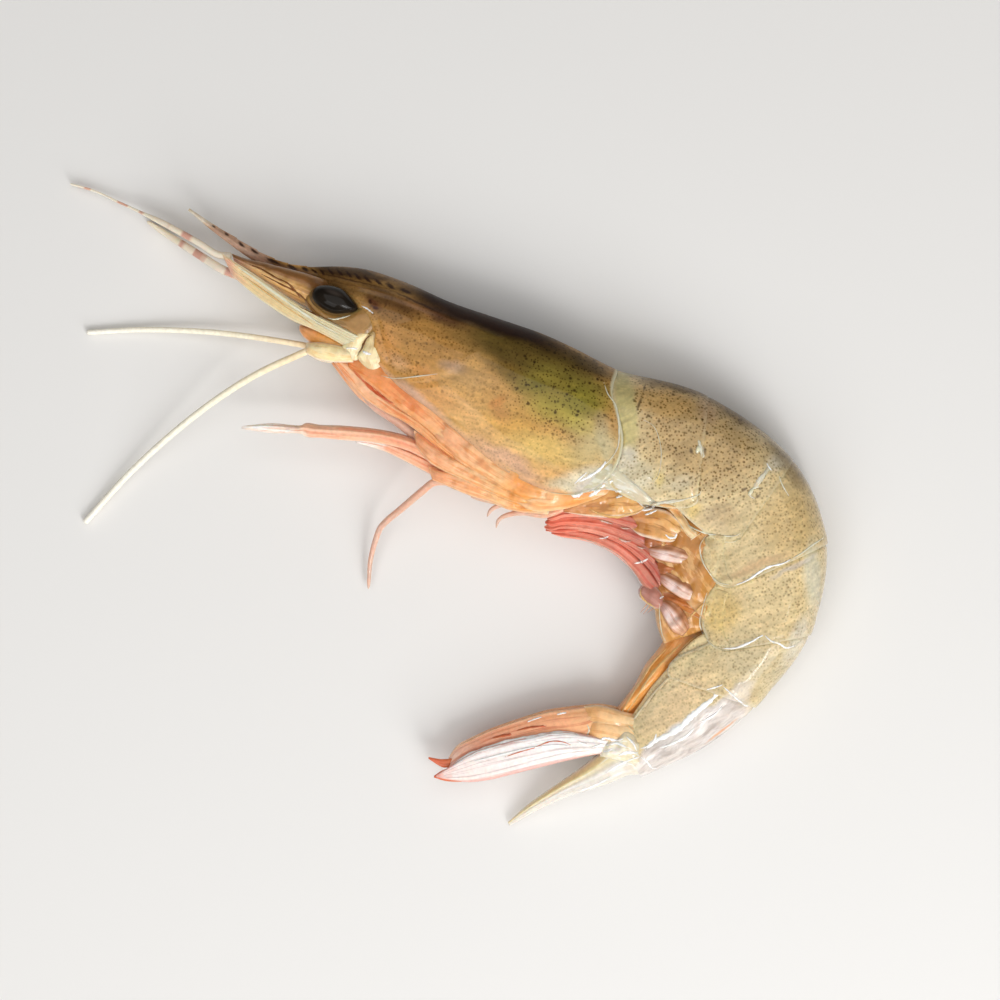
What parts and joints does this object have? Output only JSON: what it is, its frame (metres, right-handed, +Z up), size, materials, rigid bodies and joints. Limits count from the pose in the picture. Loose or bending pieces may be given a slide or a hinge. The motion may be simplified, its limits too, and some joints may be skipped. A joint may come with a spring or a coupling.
{
  "type": "raw head-on shrimp",
  "caption": "Raw head-on shrimp lying curled on its side, with a speckled shell, legs, swimmerets, tail fan, rostrum, stalked eyes and broken antennae.",
  "frame": {"origin": "centre of the bounding box at the surface the animal lies on", "axes": "+X across the page to the right, from the head's tip towards the bend of the tail; +Y up the page, towards the back of the head; +Z up, out of the animal's left side"},
  "size_m": [0.1092, 0.0925, 0.0152],
  "materials": {
    "carapace_shell": "wet translucent shell, speckled",
    "segment_shell": "wet translucent shell, speckled",
    "belly_flesh": "moist skin",
    "telson_shell": "wet clear shell",
    "eye_cornea": "glossy black",
    "eyestalk_skin": "moist skin",
    "antennule_stem": "wet shell",
    "antennule_whip": "banded, satin",
    "antenna_stem": "wet shell",
    "antennal_scale": "wet clear shell",
    "antenna_whip": "satin",
    "leg_shell": "wet translucent shell",
    "pleopod_skin": "wet translucent skin",
    "uropod_leaf": "wet translucent shell"
  },
  "bodies": {
    "root": {"carapace": "carapace_shell", "segment_1": "segment_shell", "segment_2": "segment_shell", "segment_3": "segment_shell", "segment_4": "segment_shell", "segment_5": "segment_shell", "segment_6": "segment_shell", "belly": "belly_flesh", "telson": "telson_shell", "eye_left": "eye_cornea", "eyestalk_left": "eyestalk_skin", "antennule_left": "antennule_stem", "antennule_whip_upper_left": "antennule_whip", "antennule_whip_lower_left": "antennule_whip", "antenna_base_left": "antenna_stem", "antennal_scale_left": "antennal_scale", "antenna_whip_left": "antenna_whip", "maxilliped_left": "leg_shell", "leg_1_left": "leg_shell", "leg_2_left": "leg_shell", "leg_3_left": "leg_shell", "leg_4_left": "leg_shell", "leg_5_left": "leg_shell", "pleopod_1_left": "pleopod_skin", "pleopod_2_left": "pleopod_skin", "pleopod_3_left": "pleopod_skin", "pleopod_4_left": "pleopod_skin", "pleopod_5_left": "pleopod_skin", "uropod_outer_left": "uropod_leaf", "uropod_inner_left": "uropod_leaf", "eye_right": "eye_cornea", "eyestalk_right": "eyestalk_skin", "antennule_right": "antennule_stem", "antennule_whip_upper_right": "antennule_whip", "antennule_whip_lower_right": "antennule_whip", "antenna_base_right": "antenna_stem", "antennal_scale_right": "antennal_scale", "antenna_whip_right": "antenna_whip", "maxilliped_right": "leg_shell", "leg_1_right": "leg_shell", "leg_2_right": "leg_shell", "leg_3_right": "leg_shell", "leg_4_right": "leg_shell", "leg_5_right": "leg_shell", "pleopod_1_right": "pleopod_skin", "pleopod_2_right": "pleopod_skin", "pleopod_3_right": "pleopod_skin", "pleopod_4_right": "pleopod_skin", "pleopod_5_right": "pleopod_skin", "uropod_outer_right": "uropod_leaf", "uropod_inner_right": "uropod_leaf"}
  },
  "joints": []
}
